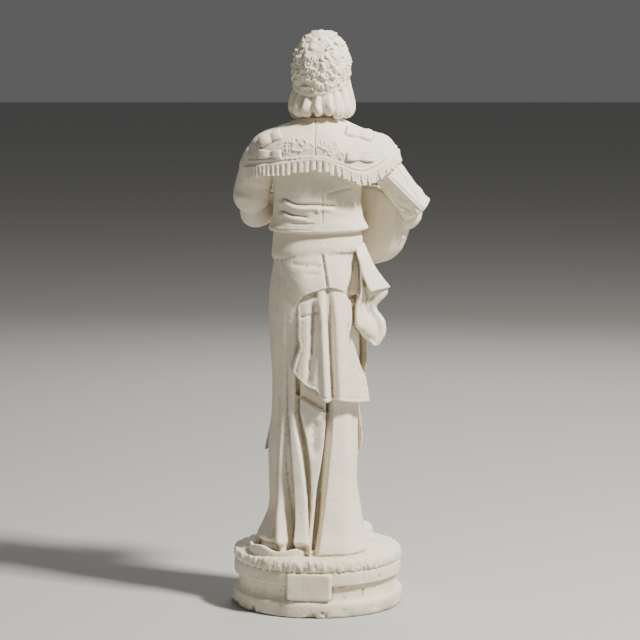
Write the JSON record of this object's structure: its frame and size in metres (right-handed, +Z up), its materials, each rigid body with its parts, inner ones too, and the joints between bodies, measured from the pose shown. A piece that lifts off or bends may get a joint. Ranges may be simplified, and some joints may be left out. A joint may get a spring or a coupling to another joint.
{
  "type": "concrete guitar player statue",
  "caption": "Cast concrete garden statue of a standing guitar player in a fringed cape, flared trousers and woolly cap, on a round plinth.",
  "frame": {"origin": "centre of the round plinth's underside", "axes": "+Z up from the underside through the figure; the figure faces -Y and its left side is towards +X"},
  "size_m": [0.4035, 0.3966, 1.2018],
  "materials": {
    "concrete": "matte cast concrete, weathered"
  },
  "bodies": {
    "root": {"guitar_player_statue": "concrete"}
  },
  "joints": []
}
